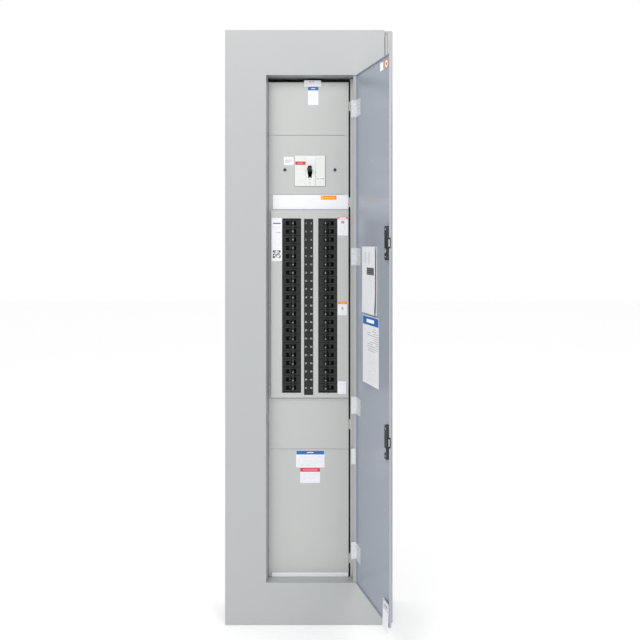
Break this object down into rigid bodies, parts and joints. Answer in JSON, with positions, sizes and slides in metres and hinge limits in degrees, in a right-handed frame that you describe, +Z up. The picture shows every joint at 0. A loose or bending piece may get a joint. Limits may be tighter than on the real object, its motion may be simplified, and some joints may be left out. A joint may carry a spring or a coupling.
{
  "type": "electrical panelboard",
  "caption": "Narrow surface-mounted lighting panelboard with a hinged trim, a hinged door in it, a main breaker and two columns of branch breakers.",
  "frame": {"origin": "centre of the four wall-mounting holes, on the back face of the box", "axes": "+X to the right, +Z up, the front faces -Y"},
  "size_m": [0.5096, 0.4314, 1.81],
  "materials": {
    "painted_steel": "satin light grey enamel",
    "deadfront_paint": "satin grey enamel",
    "door_paint": "gloss grey enamel",
    "zinc_plate": "bright zinc plate",
    "copper_bar": "bare drawn bar",
    "tin_plated_bar": "tin plate",
    "insulator": "moulded",
    "black_moulding": "fine moulded texture",
    "white_plastic": "gloss",
    "white_card": "matt"
  },
  "bodies": {
    "root": {"enclosure_box": "painted_steel", "end_walls": "painted_steel", "mouth_frame": "painted_steel", "hinge_strip": "painted_steel", "trim_hinge_pin": "zinc_plate", "interior_pan": "zinc_plate", "interior_studs": "zinc_plate", "bus_supports": "insulator", "phase_bus_a": "copper_bar", "phase_bus_b": "copper_bar", "phase_bus_c": "copper_bar", "neutral_bar": "tin_plated_bar", "ground_bar": "copper_bar", "main_breaker_case": "black_moulding", "main_breaker_lugs": "tin_plated_bar", "bus_connectors": "copper_bar", "deadfront_rails": "deadfront_paint", "deadfront_top_plate": "deadfront_paint", "deadfront_main_plate": "deadfront_paint", "deadfront_label_band": "white_card", "deadfront_branch_cover": "deadfront_paint", "deadfront_lower_plate": "deadfront_paint", "deadfront_bottom_plate": "deadfront_paint", "deadfront_sill": "zinc_plate", "deadfront_screws": "zinc_plate", "circuit_number_strip": "black_moulding", "left_breaker_cases": "black_moulding", "right_breaker_cases": "black_moulding"},
    "trim": {"trim_cover": "painted_steel", "trim_hinge_leaf": "zinc_plate", "door_hinge_brackets": "zinc_plate"},
    "door": {"door_panel": "door_paint", "door_hinge_leaves": "zinc_plate", "door_hinge_pins": "zinc_plate", "directory_frame": "white_card", "door_tag": "white_card", "upper_latch_housing": "black_moulding", "lower_latch_housing": "black_moulding"},
    "upper_latch_handle": {"upper_latch_handle": "black_moulding"},
    "upper_latch_bolt": {"upper_latch_bolt": "zinc_plate"},
    "upper_lock_cylinder": {"upper_lock_cylinder": "zinc_plate"},
    "lower_latch_handle": {"lower_latch_handle": "black_moulding"},
    "lower_latch_bolt": {"lower_latch_bolt": "zinc_plate"},
    "lower_lock_cylinder": {"lower_lock_cylinder": "zinc_plate"},
    "main_breaker_handle": {"main_breaker_handle": "black_moulding"},
    "trip_button": {"trip_button": "white_plastic"},
    "handle_left_1": {"handle_left_1": "black_moulding"},
    "handle_left_2": {"handle_left_2": "black_moulding"},
    "handle_left_3": {"handle_left_3": "black_moulding"},
    "handle_left_4": {"handle_left_4": "black_moulding"},
    "handle_left_5": {"handle_left_5": "black_moulding"},
    "handle_left_6": {"handle_left_6": "black_moulding"},
    "handle_left_7": {"handle_left_7": "black_moulding"},
    "handle_right_1": {"handle_right_1": "black_moulding"},
    "handle_right_2": {"handle_right_2": "black_moulding"},
    "handle_right_3": {"handle_right_3": "black_moulding"},
    "handle_right_4": {"handle_right_4": "black_moulding"},
    "handle_right_5": {"handle_right_5": "black_moulding"},
    "handle_right_6": {"handle_right_6": "black_moulding"},
    "handle_right_7": {"handle_right_7": "black_moulding"}
  },
  "joints": [
    {"name": "trim_hinge", "type": "hinge", "parent": "root", "child": "trim", "pos_m": [0.2352, -0.152, 0], "axis": [0, 0, 1], "range_deg": [0, 100]},
    {"name": "door_hinge", "type": "hinge", "parent": "trim", "child": "door", "pos_m": [0.1533, -0.1636, 0], "axis": [0, 0, 1], "range_deg": [-111.2, 8]},
    {"name": "upper_latch_turn", "type": "hinge", "parent": "door", "child": "upper_latch_handle", "pos_m": [0.24729, -0.41588, 0.236], "axis": [0.9323, 0.3616, 0], "range_deg": [0, 90]},
    {"name": "upper_bolt_slide", "type": "slide", "parent": "door", "child": "upper_latch_bolt", "axis": [0.3616, -0.9323, 0], "range_m": [0, 0.011]},
    {"name": "upper_lock_turn", "type": "hinge", "parent": "upper_latch_handle", "child": "upper_lock_cylinder", "pos_m": [0.24729, -0.41588, 0.236], "axis": [0.9323, 0.3616, 0], "range_deg": [0, 90]},
    {"name": "lower_latch_turn", "type": "hinge", "parent": "door", "child": "lower_latch_handle", "pos_m": [0.24729, -0.41588, -0.3], "axis": [0.9323, 0.3616, 0], "range_deg": [0, 90]},
    {"name": "lower_bolt_slide", "type": "slide", "parent": "door", "child": "lower_latch_bolt", "axis": [0.3616, -0.9323, 0], "range_m": [0, 0.011]},
    {"name": "lower_lock_turn", "type": "hinge", "parent": "lower_latch_handle", "child": "lower_lock_cylinder", "pos_m": [0.24729, -0.41588, -0.3], "axis": [0.9323, 0.3616, 0], "range_deg": [0, 90]},
    {"name": "main_handle_throw", "type": "hinge", "parent": "root", "child": "main_breaker_handle", "pos_m": [0, -0.108, 0.477], "axis": [1, 0, 0], "range_deg": [0, 32]},
    {"name": "trip_button_press", "type": "slide", "parent": "root", "child": "trip_button", "axis": [0, 1, 0], "range_m": [0, 0.002], "stiffness_N_per_m": 400},
    {"name": "left_1_throw", "type": "hinge", "parent": "root", "child": "handle_left_1", "pos_m": [-0.0585, -0.11, 0.29205], "axis": [0, 0, -1], "range_deg": [0, 34]},
    {"name": "left_2_throw", "type": "hinge", "parent": "root", "child": "handle_left_2", "pos_m": [-0.0585, -0.11, 0.21585], "axis": [0, 0, -1], "range_deg": [0, 34]},
    {"name": "left_3_throw", "type": "hinge", "parent": "root", "child": "handle_left_3", "pos_m": [-0.0585, -0.11, 0.13965], "axis": [0, 0, -1], "range_deg": [0, 34]},
    {"name": "left_4_throw", "type": "hinge", "parent": "root", "child": "handle_left_4", "pos_m": [-0.0585, -0.11, 0.06345], "axis": [0, 0, -1], "range_deg": [0, 34]},
    {"name": "left_5_throw", "type": "hinge", "parent": "root", "child": "handle_left_5", "pos_m": [-0.0585, -0.11, -0.01275], "axis": [0, 0, -1], "range_deg": [0, 34]},
    {"name": "left_6_throw", "type": "hinge", "parent": "root", "child": "handle_left_6", "pos_m": [-0.0585, -0.11, -0.08895], "axis": [0, 0, -1], "range_deg": [0, 34]},
    {"name": "left_7_throw", "type": "hinge", "parent": "root", "child": "handle_left_7", "pos_m": [-0.0585, -0.11, -0.16515], "axis": [0, 0, -1], "range_deg": [0, 34]},
    {"name": "right_1_throw", "type": "hinge", "parent": "root", "child": "handle_right_1", "pos_m": [0.0585, -0.11, 0.29205], "axis": [0, 0, 1], "range_deg": [0, 34]},
    {"name": "right_2_throw", "type": "hinge", "parent": "root", "child": "handle_right_2", "pos_m": [0.0585, -0.11, 0.21585], "axis": [0, 0, 1], "range_deg": [0, 34]},
    {"name": "right_3_throw", "type": "hinge", "parent": "root", "child": "handle_right_3", "pos_m": [0.0585, -0.11, 0.13965], "axis": [0, 0, 1], "range_deg": [0, 34]},
    {"name": "right_4_throw", "type": "hinge", "parent": "root", "child": "handle_right_4", "pos_m": [0.0585, -0.11, 0.06345], "axis": [0, 0, 1], "range_deg": [0, 34]},
    {"name": "right_5_throw", "type": "hinge", "parent": "root", "child": "handle_right_5", "pos_m": [0.0585, -0.11, -0.01275], "axis": [0, 0, 1], "range_deg": [0, 34]},
    {"name": "right_6_throw", "type": "hinge", "parent": "root", "child": "handle_right_6", "pos_m": [0.0585, -0.11, -0.08895], "axis": [0, 0, 1], "range_deg": [0, 34]},
    {"name": "right_7_throw", "type": "hinge", "parent": "root", "child": "handle_right_7", "pos_m": [0.0585, -0.11, -0.16515], "axis": [0, 0, 1], "range_deg": [0, 34]}
  ],
  "couplings": [
    {"joint": "upper_latch_turn", "follows": "upper_bolt_slide", "rad_per_m": 142.79},
    {"joint": "lower_latch_turn", "follows": "lower_bolt_slide", "rad_per_m": 142.79}
  ]
}
